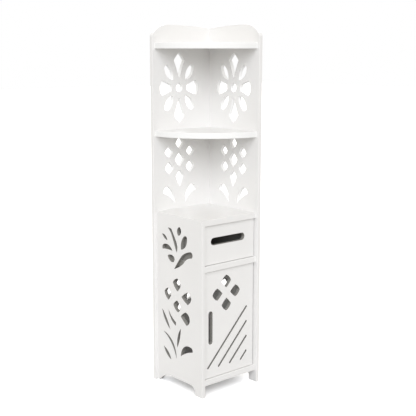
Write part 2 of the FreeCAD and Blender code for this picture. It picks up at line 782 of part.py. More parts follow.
def boards():
    """The three cabinet boards, two of them with the hinge and the catch."""
    made = {label: cabinet_board(label, level) for label, level in CABINET_BOARDS.items()}
    pivot_hole(made["bottom_board"], True)
    pivot_hole(made["divider_board"], False)
    reach = dim.catch_screw_length - dim.catch_height
    radius = dim.small_screw_radius + dim.fit_gap
    drill(made["divider_board"], "catch", "XY_Plane", 0, catch_screw_spots(), radius, reach, True)


def door_flower():
    """Four petals about the flower's middle."""
    across = float(dim.door_flower_from_left)
    up = float(dim.door_flower_height)
    return [shifted(turned(PETAL, turn), across, up) for turn in range(4)]


def door_grip():
    """Upright slot for the fingers, near the door's free edge."""
    upright = turned(slot(float(dim.grip_slot_length), float(dim.grip_slot_width)), 1)
    middle = float(dim.grip_slot_bottom + dim.grip_slot_length / 2)
    return shifted(upright, float(dim.grip_slot_from_left), middle)


def door_stripes():
    """Parallel slanting slots, cut off level at the foot and at the left margin."""
    right = DRAWN_DOOR_WIDTH - float(dim.stripe_right_margin)
    bottom = float(dim.stripe_bottom)
    width = float(dim.stripe_width)
    longest = right - float(dim.stripe_left_margin)
    top = float(dim.stripe_top)
    shapes = []
    while top > bottom + width:
        run = min((top - bottom) / STRIPE_SLOPE, longest)
        shapes.append(slanted_slot((right - run, top - run * STRIPE_SLOPE), (right, top), width))
        top -= float(dim.stripe_pitch)
    return shapes


def strike_screw_spots():
    """Across and up, from the door's lower left corner."""
    return [(STRIKE_X - STRIKE_SCREW_REACH, STRIKE_Z), (STRIKE_X + STRIKE_SCREW_REACH, STRIKE_Z)]


def door():
    """Inset door, held by a pin at the top and bottom of its right edge."""
    body = new_body("door")
    sketch = new_sketch(body, "outline", "XZ_Plane")
    rectangle(sketch, DOOR_WIDTH, DOOR_HEIGHT)
    plate = pad(body, sketch, dim.front_thickness)
    round_edges(body, plate, lambda bounds: bounds.YLength < NEAR and bounds.YMax < -NEAR)
    stretch = float(DOOR_WIDTH) / DRAWN_DOOR_WIDTH
    rise = float(DOOR_HEIGHT) / DRAWN_DOOR_HEIGHT
    fretwork = new_sketch(body, "fretwork", "XZ_Plane")
    for shape in door_flower() + [door_grip()] + door_stripes():
        outline(fretwork, shape, lambda across, up: FreeCAD.Vector(across * stretch, up * rise))
    pocket(body, fretwork, dim.front_thickness, True)
    pin = [(DOOR_WIDTH - dim.pivot_inset, -dim.front_thickness / 2)]
    hole = dim.pin_radius + dim.fit_gap
    drill(body, "lower_pin", "XY_Plane", 0, pin, hole, dim.pin_door_depth, True)
    drill(body, "upper_pin", "XY_Plane", DOOR_HEIGHT, pin, hole, dim.pin_door_depth, False)
    reach = dim.strike_screw_length - dim.small_screw_head_height - dim.strike_thickness
    radius = dim.small_screw_radius + dim.fit_gap
    drill(body, "strike", "XZ_Plane", 0, strike_screw_spots(), radius, reach, True)
    place(body, DOOR_LEFT, FRONT_BACK, DOOR_FOOT)


def box(label, corner, lengths):
    """A plain block with its three lengths and its place tied to the sheet."""
    block = doc.addObject("Part::Box", label)
    block.Label = label
    for prop, length in zip(("Length", "Width", "Height"), lengths):
        bind(block, prop, length)
    place(block, *corner)
    return block


def cylinder(label, foot, radius, height, axis=FreeCAD.Vector(0, 0, 1)):
    """A plain round along an axis, with its sizes and its place tied to the sheet."""
    rod = doc.addObject("Part::Cylinder", label)
    rod.Label = label
    bind(rod, "Radius", radius)
    bind(rod, "Height", height)
    rod.Placement.Rotation = FreeCAD.Rotation(FreeCAD.Vector(0, 0, 1), axis)
    place(rod, *foot)
    return rod


def joined(label, pieces):
    fuse = doc.addObject("Part::MultiFuse", label)
    fuse.Label = label
    fuse.Shapes = pieces
    doc.recompute()
    return fuse


def without(label, base, tools):
    """A piece with one or more others taken out of it."""
    cut = doc.addObject("Part::Cut", label)
    cut.Label = label
    cut.Base = base
    cut.Tool = tools[0] if len(tools) == 1 else joined(f"{label}_tools", tools)
    doc.recompute()
    return cut


def hinge(label, pin_label, level, way):
    """A pin in the edge of the door and the flanged bush that it turns in.

    level is the board's face beside the door, and way is +1 where the board lies above the door.
    """
    door_edge = level - dim.level_gap * way
    up = FreeCAD.Vector(0, 0, way)
    pin_length = dim.pin_door_depth + dim.level_gap + dim.pin_board_depth
    pin_foot = (PIVOT_X, PIVOT_Y, door_edge - dim.pin_door_depth * way)
    cylinder(pin_label, pin_foot, dim.pin_radius, pin_length, up)
    flange = dim.level_gap - dim.glide_gap
    sleeve_depth = dim.pin_board_depth + dim.glide_gap
    start = (PIVOT_X, PIVOT_Y, level - flange * way)
    sleeve = cylinder(f"{label}_sleeve", start, dim.bush_radius, flange + sleeve_depth, up)
    collar = cylinder(f"{label}_collar", start, dim.bush_flange_radius, flange, up)
    bore = cylinder(f"{label}_bore", start, dim.pin_radius + dim.fit_gap, flange + sleeve_depth, up)
    without(label, joined(f"{label}_blank", [sleeve, collar]), [bore])


def hinges():
    hinge("lower_hinge_bush", "lower_hinge_pin", BOTTOM_TOP, -1)
    hinge("upper_hinge_bush", "upper_hinge_pin", DIVIDER_UNDER, 1)


def drawer_front():
    """Inset front with the tissue slot, which is also the finger pull."""
    body = new_body("drawer_front")
    width = CABINET_WIDTH - dim.side_gap * 2
    height = dim.drawer_space - dim.level_gap * 2
    sketch = new_sketch(body, "outline", "XZ_Plane")
    rectangle(sketch, width, height)
    plate = pad(body, sketch, dim.front_thickness)
    round_edges(body, plate, lambda bounds: bounds.YLength < NEAR and bounds.YMax < -NEAR)
    opening = new_sketch(body, "tissue_slot", "XZ_Plane")
    shape = slot(float(dim.tissue_slot_length), float(dim.tissue_slot_width))
    across = width / 2 - dim.tissue_slot_shift
    outline(opening, shifted(shape, float(across), float(dim.tissue_slot_height)))
    pocket(body, opening, dim.front_thickness, True)
    spots = [(x - DOOR_LEFT, z - DRAWER_FRONT_FOOT) for x, z in drawer_dowel_spots()]
    radius = dim.drawer_dowel_radius + dim.fit_gap
    drill(body, "dowels", "XZ_Plane", 0, spots, radius, dim.drawer_dowel_depth, True)
    place(body, DOOR_LEFT, FRONT_BACK, DRAWER_FRONT_FOOT)


def drawer_fastener_levels():
    rise = dim.drawer_wall_height - dim.drawer_bottom_lift - dim.drawer_bottom_thickness
    return [DRAWER_BOTTOM_TOP + rise * share for share in DRAWER_FASTENER_SHARES]


def drawer_dowel_spots():
    """Across and up, in the unit's own frame, where the drawer sides meet the front."""
    columns = (DRAWER_LEFT + dim.drawer_wall / 2, DRAWER_RIGHT - dim.drawer_wall / 2)
    return [(x, z) for x in columns for z in drawer_fastener_levels()]


def drawer_side(label, left, outer_is_left):
    """Drawer wall with a groove for the bottom, dowel holes in front and screw holes at the rear."""
    body = new_body(label)
    sketch = new_sketch(body, "outline", "YZ_Plane")
    rectangle(sketch, DRAWER_DEPTH, dim.drawer_wall_height)
    pad(body, sketch, dim.drawer_wall)
    inner = dim.drawer_wall if outer_is_left else as_size(0)
    outer = as_size(0) if outer_is_left else dim.drawer_wall
    groove = new_sketch(body, "groove", "YZ_Plane", inner)
    low = float(dim.drawer_bottom_lift - dim.fit_gap)
    high = float(dim.drawer_bottom_lift + dim.drawer_bottom_thickness + dim.fit_gap)
    depth = float(DRAWER_DEPTH)
    outline(groove, [(0, low, 0), (depth, low, 0), (depth, high, 0), (0, high, 0)])
    pocket(body, groove, dim.groove_depth, not outer_is_left)
    heights = [level - DRAWER_FOOT for level in drawer_fastener_levels()]
    radius = dim.drawer_dowel_radius + dim.fit_gap
    reach = dim.drawer_dowel_length - dim.drawer_dowel_depth
    dowels = [(dim.drawer_wall / 2, height) for height in heights]
    drill(body, "dowels", "XZ_Plane", 0, dowels, radius, reach, False)
    screws = [(DRAWER_DEPTH - dim.drawer_wall / 2, height) for height in heights]
    shank = dim.screw_radius + dim.fit_gap
    head = dim.screw_head_radius + dim.fit_gap
    drill(body, "screws", "YZ_Plane", outer, screws, shank, dim.drawer_wall, outer_is_left)
    sink = dim.screw_head_height + dim.fit_gap
    drill(body, "heads", "YZ_Plane", outer, screws, head, sink, outer_is_left)
    place(body, left, FRONT_BACK, DRAWER_FOOT)


def drawer_back():
    """Stands on the drawer bottom between the two sides."""
    body = new_body("drawer_back")
    width = DRAWER_RIGHT - DRAWER_LEFT - dim.drawer_wall * 2
    height = dim.drawer_wall_height - (DRAWER_BOTTOM_TOP - DRAWER_FOOT)
    sketch = new_sketch(body, "outline", "XZ_Plane")
    rectangle(sketch, width, height)
    pad(body, sketch, dim.drawer_wall)
    spots = [(-dim.drawer_wall / 2, level - DRAWER_BOTTOM_TOP) for level in drawer_fastener_levels()]
    reach = dim.drawer_screw_length - dim.drawer_wall
    shank = dim.screw_radius + dim.fit_gap
    drill(body, "left_pilots", "YZ_Plane", 0, spots, shank, reach, True)
    drill(body, "right_pilots", "YZ_Plane", width, spots, shank, reach, False)
    place(body, DRAWER_LEFT + dim.drawer_wall, DRAWER_REAR, DRAWER_BOTTOM_TOP)


def drawer_bottom():
    """Thin panel that slides into the grooves of the sides, below the back."""
    reach = dim.groove_depth - dim.fit_gap
    left = DRAWER_LEFT + dim.drawer_wall - reach
    right = DRAWER_RIGHT - dim.drawer_wall + reach
    box(
        "drawer_bottom",
        (left, FRONT_BACK, DRAWER_BOTTOM_UNDER),
        (right - left, DRAWER_DEPTH, dim.drawer_bottom_thickness),
    )


def drawer():
    drawer_front()
    drawer_side("drawer_left_side", DRAWER_LEFT, True)
    drawer_side("drawer_right_side", DRAWER_RIGHT - dim.drawer_wall, False)
    drawer_back()
    drawer_bottom()


def catch():
    """Magnetic catch under the divider board, with its strike plate on the door."""
    left = SIDE_INNER + dim.catch_from_left
    foot = DIVIDER_UNDER - dim.catch_height
    lengths = (dim.catch_length, dim.catch_depth, dim.catch_height)
    block = box("catch_block", (left, CATCH_FRONT, foot), lengths)
    magnet_corner = (
        left + (dim.catch_length - dim.magnet_length) / 2,
        CATCH_FRONT - dim.magnet_proud,
        foot + (dim.catch_height - dim.magnet_height) / 2,
    )
    magnet_lengths = (dim.magnet_length, dim.magnet_depth, dim.magnet_height)
    recess = box(
        "catch_recess",
        [edge - dim.fit_gap for edge in magnet_corner],
        [length + dim.fit_gap * 2 for length in magnet_lengths],
    )
    holes = []
    for number, (across, back) in enumerate(catch_screw_spots()):
        spot = (SIDE_INNER + across, FRONT + back, foot)
        shank = dim.small_screw_radius + dim.fit_gap
        head = dim.small_screw_head_radius + dim.fit_gap
        holes.append(cylinder(f"catch_hole_{number}", spot, shank, dim.catch_height))
        holes.append(cylinder(f"catch_sink_{number}", spot, head, dim.small_screw_head_height))
    without("catch_body", block, [recess] + holes)
    box("catch_magnet", magnet_corner, magnet_lengths)
    strike_plate()


def strike_plate():
    """Steel plate on the back of the door, opposite the magnet."""
    left = DOOR_LEFT + STRIKE_X - dim.strike_length / 2
    foot = DOOR_FOOT + STRIKE_Z - dim.strike_height / 2
    lengths = (dim.strike_length, dim.strike_thickness, dim.strike_height)
    blank = box("strike_blank", (left, FRONT_BACK, foot), lengths)
    inward = FreeCAD.Vector(0, 1, 0)
    radius = dim.small_screw_radius + dim.fit_gap
    holes = []
    for number, (across, up) in enumerate(strike_screw_spots()):
        spot = (DOOR_LEFT + across, FRONT_BACK, DOOR_FOOT + up)
        holes.append(cylinder(f"strike_hole_{number}", spot, radius, dim.strike_thickness, inward))
    without("strike_plate", blank, holes)


def turned_profile(points):
    """A solid of revolution about Z from (radius, height) corners."""
    corners = [FreeCAD.Vector(float(radius), 0, float(height)) for radius, height in points]
    face = Part.Face(Part.makePolygon(corners + corners[:1]))
    return face.revolve(FreeCAD.Vector(), FreeCAD.Vector(0, 0, 1), 360)


def screw_shape(length, radius, head_radius, head_height):
    """Flat-headed screw with a hexagon socket. Its head starts at the origin, its tip points to +Z."""
    tip = radius * TIP_SHARE
    body = turned_profile(
        [
            (0, 0),
            (head_radius, 0),
            (head_radius, head_height),
            (radius, head_height),
            (radius, length - tip),
            (0, length),
        ]
    )
    reach = float(head_radius) * SOCKET_REACH_SHARE
    turns = [math.radians(turn) for turn in range(0, 360, 60)]
    corners = [FreeCAD.Vector(reach * math.cos(turn), reach * math.sin(turn)) for turn in turns]
    hexagon = Part.Face(Part.makePolygon(corners + corners[:1]))
    return body.cut(hexagon.extrude(FreeCAD.Vector(0, 0, float(head_height) * SOCKET_DEPTH_SHARE)))


def dowel_shape(length, radius):
    """Round peg with bevelled ends, along +Z from the origin."""
    bevel = radius * BEVEL_SHARE
    return turned_profile(
        [
            (0, 0),
            (radius - bevel, 0),
            (radius, bevel),
            (radius, length - bevel),
            (radius - bevel, length),
            (0, length),
        ]
    )


def cam_bolt_shape():
    """Bolt along +Z, with its thread below the origin and its head in the cam."""
    neck = dim.cam_bolt_radius * NECK_SHARE
    head_start = dim.cam_distance - dim.cam_bolt_radius
    return turned_profile(
        [
            (0, -dim.cam_thread_depth),
            (dim.cam_thread_radius, -dim.cam_thread_depth),
            (dim.cam_thread_radius, 0),
            (dim.cam_bolt_radius, 0),
            (dim.cam_bolt_radius, head_start - neck),
            (neck, head_start - neck),
            (neck, head_start),
            (dim.cam_bolt_radius, head_start),
            (dim.cam_bolt_radius, dim.cam_distance),
            (0, dim.cam_distance),
        ]
    )


def cam_lock_shape():
    """Round cam that stands on the origin, with a mouth for the bolt on its -X side."""
    radius = float(dim.cam_radius)
    wide = float(dim.cam_bolt_radius + dim.fit_gap)
    groove = radius * CAM_SLOT_SHARE
    body = Part.makeCylinder(radius, float(dim.cam_height))
    mouth_corner = FreeCAD.Vector(-radius, -wide, float(MID_BOARD) - wide)
    mouth = Part.makeBox(radius + float(dim.fit_gap), 2 * wide, 2 * wide, mouth_corner)
    drive = Part.makeBox(radius, groove, groove, FreeCAD.Vector(-radius / 2, -groove / 2, 0))
    return body.cut([mouth, drive])


def laid(shape, spots, direction=FreeCAD.Vector(0, 0, 1)):
    """Copies of a fastener, each turned from +Z to a direction and set on its spot."""
    turn = FreeCAD.Rotation(FreeCAD.Vector(0, 0, 1), direction)
    copies = []
    for spot in spots:
        copy = shape.copy()
        copy.Placement = FreeCAD.Placement(FreeCAD.Vector(*map(float, spot)), turn)
        copies.append(copy)
    return copies


def fastener_group(label, copies):
    """Equal fasteners as separate solids of one piece."""
    feature = doc.addObject("Part::Feature", label)
    feature.Label = label
    feature.Shape = Part.makeCompound(copies)
    feature.Placement = FreeCAD.Placement()


TO_FRONT = FreeCAD.Vector(0, -1, 0)
TO_LEFT = FreeCAD.Vector(-1, 0, 0)
TO_RIGHT = FreeCAD.Vector(1, 0, 0)


def panel_screws():
    """Through the back panels into the boards, the side panel and each other."""
    head = (dim.screw_head_radius, dim.screw_head_height)
    screw = screw_shape(dim.screw_length, dim.screw_radius, *head)
    left = [(across - HALF, HALF, up) for across, up in left_panel_screws()]
    right = [(HALF, across - HALF, up) for across, up in right_panel_screws()]
    fastener_group("panel_screws", laid(screw, left, TO_FRONT) + laid(screw, right, TO_LEFT))


def side_fittings():
    """Cam bolts, cams and dowels between the side panel and the cabinet boards."""
    cam_x = SIDE_INNER + dim.cam_distance
    dowel_x = SIDE_INNER - dim.dowel_panel_depth
    bolts = []
    cams = []
    dowels = []
    for level in CABINET_BOARDS.values():
        bolts += [(SIDE_INNER, FRONT + spot, level + MID_BOARD) for spot in CAM_SPOTS]
        cams += [(cam_x, FRONT + spot, level) for spot in CAM_SPOTS]
        dowels += [(dowel_x, FRONT + spot, level + MID_BOARD) for spot in DOWEL_SPOTS]
    fastener_group("cam_bolts", laid(cam_bolt_shape(), bolts, TO_RIGHT))
    fastener_group("cam_locks", laid(cam_lock_shape(), cams))
    fastener_group("dowels", laid(dowel_shape(dim.dowel_length, dim.dowel_radius), dowels, TO_RIGHT))


def drawer_fasteners():
    """Dowels into the drawer front and screws into the drawer back."""
    dowel = dowel_shape(dim.drawer_dowel_length, dim.drawer_dowel_radius)
    far = FRONT_BACK + dim.drawer_dowel_length - dim.drawer_dowel_depth
    dowels = [(x, far, z) for x, z in drawer_dowel_spots()]
    fastener_group("drawer_dowels", laid(dowel, dowels, TO_FRONT))
    head = (dim.screw_head_radius, dim.screw_head_height)
    screw = screw_shape(dim.drawer_screw_length, dim.screw_radius, *head)
    row = DRAWER_REAR - dim.drawer_wall / 2
    levels = drawer_fastener_levels()
    from_left = laid(screw, [(DRAWER_LEFT, row, level) for level in levels], TO_RIGHT)
    from_right = laid(screw, [(DRAWER_RIGHT, row, level) for level in levels], TO_LEFT)
    fastener_group("drawer_screws", from_left + from_right)


def catch_fasteners():
    """Small screws of the catch and of its strike plate."""
    head = (dim.small_screw_head_radius, dim.small_screw_head_height)
    long_screw = screw_shape(dim.catch_screw_length, dim.small_screw_radius, *head)
    short_screw = screw_shape(dim.strike_screw_length, dim.small_screw_radius, *head)
    foot = DIVIDER_UNDER - dim.catch_height
    spots = [(SIDE_INNER + across, FRONT + back, foot) for across, back in catch_screw_spots()]
    fastener_group("catch_screws", laid(long_screw, spots))
    near = FRONT_BACK + dim.strike_thickness + dim.small_screw_head_height
    spots = [(DOOR_LEFT + across, near, DOOR_FOOT + up) for across, up in strike_screw_spots()]
    fastener_group("strike_screws", laid(short_screw, spots, TO_FRONT))


NODES = [
    "left_back_panel",
    "right_back_panel",
    "side_panel",
    "top_shelf",
    "middle_shelf",
    "cabinet_top",
    "divider_board",
    "bottom_board",
    "panel_screws",
    "cam_bolts",
    "cam_locks",
    "dowels",
    "door",
    "upper_hinge_pin",
    "lower_hinge_pin",
    "upper_hinge_bush",
    "lower_hinge_bush",
    "catch_body",
    "catch_magnet",
    "catch_screws",
    "strike_plate",
    "strike_screws",
    "drawer_front",
    "drawer_left_side",
    "drawer_right_side",
    "drawer_back",
    "drawer_bottom",
    "drawer_dowels",
    "drawer_screws",
]


def build():
    left_back_panel()
    right_back_panel()
    side_panel()
    boards()
    for label, level in SHELVES.items():
        shelf(label, level)
    door()
    hinges()
    drawer()
    catch()
    panel_screws()
    side_fittings()
    drawer_fasteners()
    catch_fasteners()
    doc.recompute()


def check_and_write():
    """Stop on any failed object or bad shape, then write every piece to a file of its own."""
    failed = [item.Label for item in doc.Objects if {"Invalid", "Error"} & set(item.State)]
    pieces = {label: doc.getObjectsByLabel(label)[0].Shape for label in NODES}
    failed += [label for label, shape in pieces.items() if shape.isNull() or not shape.isValid()]
    if failed:
        raise RuntimeError(f"failed pieces: {failed}")
    os.makedirs("parts", exist_ok=True)
    for label, shape in pieces.items():
        shape.exportStep(f"parts/{label}.step")
        print(f"{label}: {len(shape.Solids)} solid(s), {shape.Volume / 1000:.2f} cm3")


build()
check_and_write()
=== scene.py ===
"""Looks of the corner shelf unit: satin white foamed board, plated fittings and soft studio light."""
import json
import math

import bpy
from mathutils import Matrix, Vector


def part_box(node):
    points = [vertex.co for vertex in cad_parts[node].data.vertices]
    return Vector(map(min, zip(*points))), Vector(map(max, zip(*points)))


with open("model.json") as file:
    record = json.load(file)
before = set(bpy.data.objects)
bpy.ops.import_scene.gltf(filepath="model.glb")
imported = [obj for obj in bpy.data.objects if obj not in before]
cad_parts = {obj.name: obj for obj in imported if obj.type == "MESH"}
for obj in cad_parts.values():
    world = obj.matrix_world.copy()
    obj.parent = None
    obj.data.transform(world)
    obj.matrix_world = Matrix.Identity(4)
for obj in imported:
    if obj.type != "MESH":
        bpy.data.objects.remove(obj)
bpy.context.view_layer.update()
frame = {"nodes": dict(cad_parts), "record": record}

MM = 0.001

# Finishes, as sRGB hex values
BOARD_LIGHT = "E9E8E6"
BOARD_DULL = "E4E3E1"
BOARD_RUBBED = "D9D8D5"
# Painted light: the back panels' fretwork edges, whiter than the skin so that they read as lit
CUT_PAINTED_LIGHT = ("FCFCFB", "F8F8F7")
# Painted shade: grey on the fretwork edges of the door, side panel and drawer front and on the divider's
# ends, where shade falls inside the fretwork
CUT_PAINTED_SHADE = ("9A9893", "83817B")
# A white edge band on the shelves' rims, drawn lighter than the skin as a painted highlight
RIM_BAND_AND_PAINTED_LIGHT = ("F0F0EE", "ECECEA")
# Painted shade: the drawer box, drawn grey so that the drawer's inside reads dark
DRAWER_SHADE_PALE = "969490"
DRAWER_SHADE_DEEP = "85837E"
ZINC_LIGHT = "CDD0D2"
ZINC_DULL = "A9ACAE"
BEECH_LIGHT = "D9B98C"
BEECH_GRAIN = "B98F5E"
NYLON_LIGHT = "EFEFEB"
NYLON_DULL = "E2E2DD"
FERRITE_LIGHT = "3A3A3C"
FERRITE_DARK = "232325"

# Patterns, in millimetres. Real orange peel is about 1.5 mm across and real pits are under half a
# millimetre, and both are drawn coarser so that they show.
BOARD_CLOUD = 140
ORANGE_PEEL = 6
EDGE_PIT = 4
RUBBED_PATCH = 35
RUBBED_RADIUS = 1.6
DRAWER_PIT = 2
DRAWER_CLOUD = 60
ZINC_HAZE = 2
BEECH_FLECK = 0.8
NYLON_SPARK = 0.7
FERRITE_GRAIN = 0.6
# Beech flecks are this many times as long as they are wide
FLECK_STRETCH = 8
# Most of a noise lies between these values
NOISE_LOW = 0.3
NOISE_HIGH = 0.7

# Boards with edges of another colour. Fretted: the axis across the board, and the colours of the routed
# edges, painted whiter than the skin as painted light on the back panels and grey as painted shade on the
# door, side panel and drawer front. Sawn: the axis along the board, and its ends, which show through the
# fretwork, painted grey as painted shade. Banded: the axis across the board, and the white band round its
# rim, drawn lighter than the skin as a painted highlight.
EDGED = {
    "left_back_panel": ("fretted", "Y", CUT_PAINTED_LIGHT),
    "right_back_panel": ("fretted", "X", CUT_PAINTED_LIGHT),
    "side_panel": ("fretted", "X", CUT_PAINTED_SHADE),
    "door": ("fretted", "Y", CUT_PAINTED_SHADE),
    "drawer_front": ("fretted", "Y", CUT_PAINTED_SHADE),
    "divider_board": ("sawn", "X", CUT_PAINTED_SHADE),
    "top_shelf": ("banded", "Z", RIM_BAND_AND_PAINTED_LIGHT),
    "middle_shelf": ("banded", "Z", RIM_BAND_AND_PAINTED_LIGHT),
}
# Fretwork keeps at least this far from the rim of its board, in millimetres
RIM = 6
# A surface looks along an axis where its normal has more than this share of it
FACING_SHARE = 0.7
EDGE_ROUGHNESS = 0.75
# How straight the rounded normal is on a flat face, and on a corner that is fully rubbed
STRAIGHT_ON_FACE = 0.98
STRAIGHT_ON_CORNER = 0.78

# Sockets of the Mix node, which go by number because its kinds of data share their names
FACTOR = 0
NUMBER_A = 2
NUMBER_B = 3
COLOUR_A = 6
COLOUR_B = 7
MIXED_NUMBER = 0
MIXED_COLOUR = 2


def linear(hex_colour):
    """An sRGB hex value as a linear colour."""
    shares = [int(hex_colour[start:start + 2], 16) / 255 for start in (0, 2, 4)]
    bent = [share / 12.92 if share <= 0.04045 else ((share + 0.055) / 1.055) ** 2.4 for share in shares]
    return (*bent, 1.0)


def per_metre(size_mm):
    """The texture scale at which one feature of a pattern is this many millimetres across."""
    return 1 / (size_mm * MM)


def add_node(tree, kind, inputs, **settings):
    """Add a node with its settings, and with each input given as a value or as a link."""
    node = tree.nodes.new(kind)
    for name, value in settings.items():
        setattr(node, name, value)
    for socket, value in inputs.items():
        if isinstance(value, bpy.types.NodeSocket):
            tree.links.new(value, node.inputs[socket])
        else:
            node.inputs[socket].default_value = value
    return node


def new_material(name):
    """An empty node material, with its tree and its object coordinates."""
    material = bpy.data.materials.new(name)
    material.use_nodes = True
    tree = material.node_tree
    tree.nodes.clear()
    coordinates = add_node(tree, "ShaderNodeTexCoord", {})
    return material, tree, coordinates


def finish_material(tree, shader):
    """Lead a shader to the material's output."""
    add_node(tree, "ShaderNodeOutputMaterial", {"Surface": shader.outputs[0]})


def facing(tree, coordinates, axis, operation):
    """1 where the surface looks along an axis, or away from it, by the operation that is named."""
    normal = add_node(tree, "ShaderNodeSeparateXYZ", {0: coordinates.outputs["Normal"]})
    along = add_node(tree, "ShaderNodeMath", {0: normal.outputs[axis]}, operation="ABSOLUTE")
    compared = add_node(
        tree, "ShaderNodeMath", {0: along.outputs[0], 1: FACING_SHARE}, operation=operation
    )
    return compared.outputs[0]


def routed_edge(tree, coordinates, node_name, face_axis):
    """1 on the routed edges inside a board, and 0 on its faces and along its rim."""
    low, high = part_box(node_name)
    across = "XYZ".index(face_axis)
    edge = facing(tree, coordinates, face_axis, "LESS_THAN")
    spot = add_node(tree, "ShaderNodeSeparateXYZ", {0: coordinates.outputs["Object"]})
    for axis in range(3):
        if axis == across:
            continue
        middle = (low[axis] + high[axis]) / 2
        reach = (high[axis] - low[axis]) / 2 - RIM * MM
        inside = add_node(
            tree, "ShaderNodeMath", {0: spot.outputs[axis], 1: middle, 2: reach}, operation="COMPARE"
        )
        both = add_node(tree, "ShaderNodeMath", {0: edge, 1: inside.outputs[0]}, operation="MULTIPLY")
        edge = both.outputs[0]
    return edge


def lay_edges(tree, coordinates, node_name, colour, roughness, relief):
    """Put a board's edges over its skin: rough and pitted, in colours of their own, which are painted light
    on some boards and painted shade on others.
    """
    kind, axis, (edge_light, edge_dull) = EDGED[node_name]
    if kind == "fretted":
        edge = routed_edge(tree, coordinates, node_name, axis)
    elif kind == "sawn":
        edge = facing(tree, coordinates, axis, "GREATER_THAN")
    else:
        edge = facing(tree, coordinates, axis, "LESS_THAN")
    pits = add_node(
        tree, "ShaderNodeTexVoronoi",
        {"Vector": coordinates.outputs["Object"], "Scale": per_metre(EDGE_PIT)},
    )
    # The edge colour: painted light on the back panels and shelves, painted shade on the other edged boards
    edge_paint = add_node(
        tree, "ShaderNodeMix",
        {FACTOR: pits.outputs["Distance"], COLOUR_A: linear(edge_dull), COLOUR_B: linear(edge_light)},
        data_type="RGBA",
    )
    edged_colour = add_node(
        tree, "ShaderNodeMix",
        {FACTOR: edge, COLOUR_A: colour, COLOUR_B: edge_paint.outputs[MIXED_COLOUR]}, data_type="RGBA",
    )
    edged_roughness = add_node(
        tree, "ShaderNodeMix",
        {FACTOR: edge, NUMBER_A: roughness, NUMBER_B: EDGE_ROUGHNESS}, data_type="FLOAT",
    )
    edged_relief = add_node(
        tree, "ShaderNodeMix",
        {FACTOR: edge, NUMBER_A: relief, NUMBER_B: pits.outputs["Distance"]}, data_type="FLOAT",
    )
    return (
        edged_colour.outputs[MIXED_COLOUR],
        edged_roughness.outputs[MIXED_NUMBER],
        edged_relief.outputs[MIXED_NUMBER],
    )


def rub_corners(tree, place, colour):
    """Dull the corners that hands and cloths have rubbed, broken up by a patchy noise."""
    geometry = add_node(tree, "ShaderNodeNewGeometry", {})
    rounded = add_node(tree, "ShaderNodeBevel", {"Radius": RUBBED_RADIUS * MM}, samples=6)
    straight = add_node(
        tree, "ShaderNodeVectorMath",
        {0: rounded.outputs[0], 1: geometry.outputs["Normal"]}, operation="DOT_PRODUCT",
    )
    corner = add_node(
        tree, "ShaderNodeMapRange",
        {"Value": straight.outputs["Value"], "From Min": STRAIGHT_ON_FACE, "From Max": STRAIGHT_ON_CORNER},
    )
    patches = add_node(
        tree, "ShaderNodeTexNoise", {"Vector": place, "Scale": per_metre(RUBBED_PATCH), "Detail": 4}
    )
    rub = add_node(
        tree, "ShaderNodeMath", {0: corner.outputs[0], 1: patches.outputs["Fac"]}, operation="MULTIPLY"
    )
    worn = add_node(
        tree, "ShaderNodeMix",
        {FACTOR: rub.outputs[0], COLOUR_A: colour, COLOUR_B: linear(BOARD_RUBBED)}, data_type="RGBA",
    )
    return worn.outputs[MIXED_COLOUR]


def foam_board(node_name=None):
    """Foamed wood-plastic board with a satin white skin, and the edges of one node, or plain.

    The skin is smooth, with a faint cloudiness and an orange-peel texture. Edges are rougher and pitted.
    Their colours are painted light and shade: grey painted shade on the fretwork of the door, side panel
    and drawer front and on the divider's ends, and whiter painted light on the back panels' fretwork and
    the shelves' banded rims. Corners are rubbed.
    """
    material, tree, coordinates = new_material(f"satin_foam_board_{node_name or 'plain'}")
    place = coordinates.outputs["Object"]
    clouds = add_node(
        tree, "ShaderNodeTexNoise", {"Vector": place, "Scale": per_metre(BOARD_CLOUD), "Detail": 3}
    )
    peel = add_node(
        tree, "ShaderNodeTexNoise", {"Vector": place, "Scale": per_metre(ORANGE_PEEL), "Detail": 2}
    )
    skin_colour = add_node(
        tree, "ShaderNodeMix",
        {FACTOR: clouds.outputs["Fac"], COLOUR_A: linear(BOARD_LIGHT), COLOUR_B: linear(BOARD_DULL)},
        data_type="RGBA",
    )
    skin_roughness = add_node(
        tree, "ShaderNodeMapRange",
        {
            "Value": clouds.outputs["Fac"],
            "From Min": NOISE_LOW, "From Max": NOISE_HIGH, "To Min": 0.36, "To Max": 0.48,
        },
    )
    colour = skin_colour.outputs[MIXED_COLOUR]
    roughness = skin_roughness.outputs[0]
    relief = peel.outputs["Fac"]
    if node_name:
        colour, roughness, relief = lay_edges(tree, coordinates, node_name, colour, roughness, relief)
    colour = rub_corners(tree, place, colour)
    bump = add_node(tree, "ShaderNodeBump", {"Height": relief, "Strength": 0.12, "Distance": 0.4 * MM})
    shader = add_node(
        tree, "ShaderNodeBsdfPrincipled",
        {"Base Color": colour, "Roughness": roughness, "Normal": bump.outputs[0], "IOR": 1.5},
    )
    finish_material(tree, shader)
    return material


